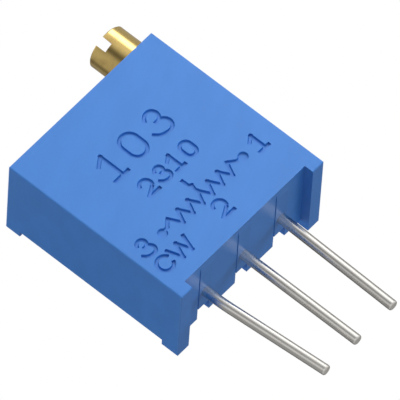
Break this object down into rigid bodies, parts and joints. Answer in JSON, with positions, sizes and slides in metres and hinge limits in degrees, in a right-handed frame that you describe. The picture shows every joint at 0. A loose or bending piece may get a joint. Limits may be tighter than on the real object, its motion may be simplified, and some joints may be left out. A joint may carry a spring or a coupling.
{
  "type": "trimmer potentiometer",
  "caption": "Square blue trimmer potentiometer on a row of wire pins; a slotted brass screw drives a worm wheel that sweeps the wiper.",
  "frame": {"origin": "on the middle pin's axis, in the plane of the standoffs' ends, which is the board's face", "axes": "+Z away from the board towards the screw's head, -Y out of the marked face, +X towards the screw's side; the pin row runs along X"},
  "size_m": [0.0096, 0.0049, 0.0178],
  "materials": {
    "body_blue": "moulded, semi-gloss",
    "screw_brass": "turned, bright",
    "seal_rubber": "matte silicone",
    "clip_steel": "stamped",
    "wheel_nylon": "moulded",
    "wiper_bronze": "spring strip",
    "alumina": "fired, matte",
    "cermet": "fired film",
    "silver_film": "fired film",
    "tinned_wire": "bright tin",
    "solder": "reflowed",
    "seal_epoxy": "cast epoxy"
  },
  "bodies": {
    "case": {"housing": "body_blue", "screw_clip": "clip_steel", "substrate": "alumina", "resistive_track": "cermet", "collector": "silver_film", "end_pad_1": "silver_film", "end_pad_3": "silver_film", "terminal_1": "tinned_wire", "terminal_2": "tinned_wire", "terminal_3": "tinned_wire", "terminal_plug_1": "body_blue", "terminal_plug_2": "body_blue", "terminal_plug_3": "body_blue", "solder_1": "solder", "solder_2": "solder", "solder_3": "solder", "rear_seal": "seal_epoxy"},
    "screw": {"adjustment_screw": "screw_brass", "screw_seal": "seal_rubber"},
    "wheel": {"worm_wheel": "wheel_nylon", "wiper_spring": "wiper_bronze"}
  },
  "joints": [
    {"name": "screw_turn", "type": "hinge", "parent": "case", "child": "screw", "pos_m": [0.0035, -0.00121, 0], "axis": [0, 0, 1], "range_deg": [-4500, 4500]},
    {"name": "wheel_turn", "type": "hinge", "parent": "case", "child": "wheel", "pos_m": [0, 0, 0.00515], "axis": [0, 1, 0], "range_deg": [-150, 150]}
  ],
  "couplings": [
    {"joint": "wheel_turn", "follows": "screw_turn", "ratio": 0.033333}
  ]
}
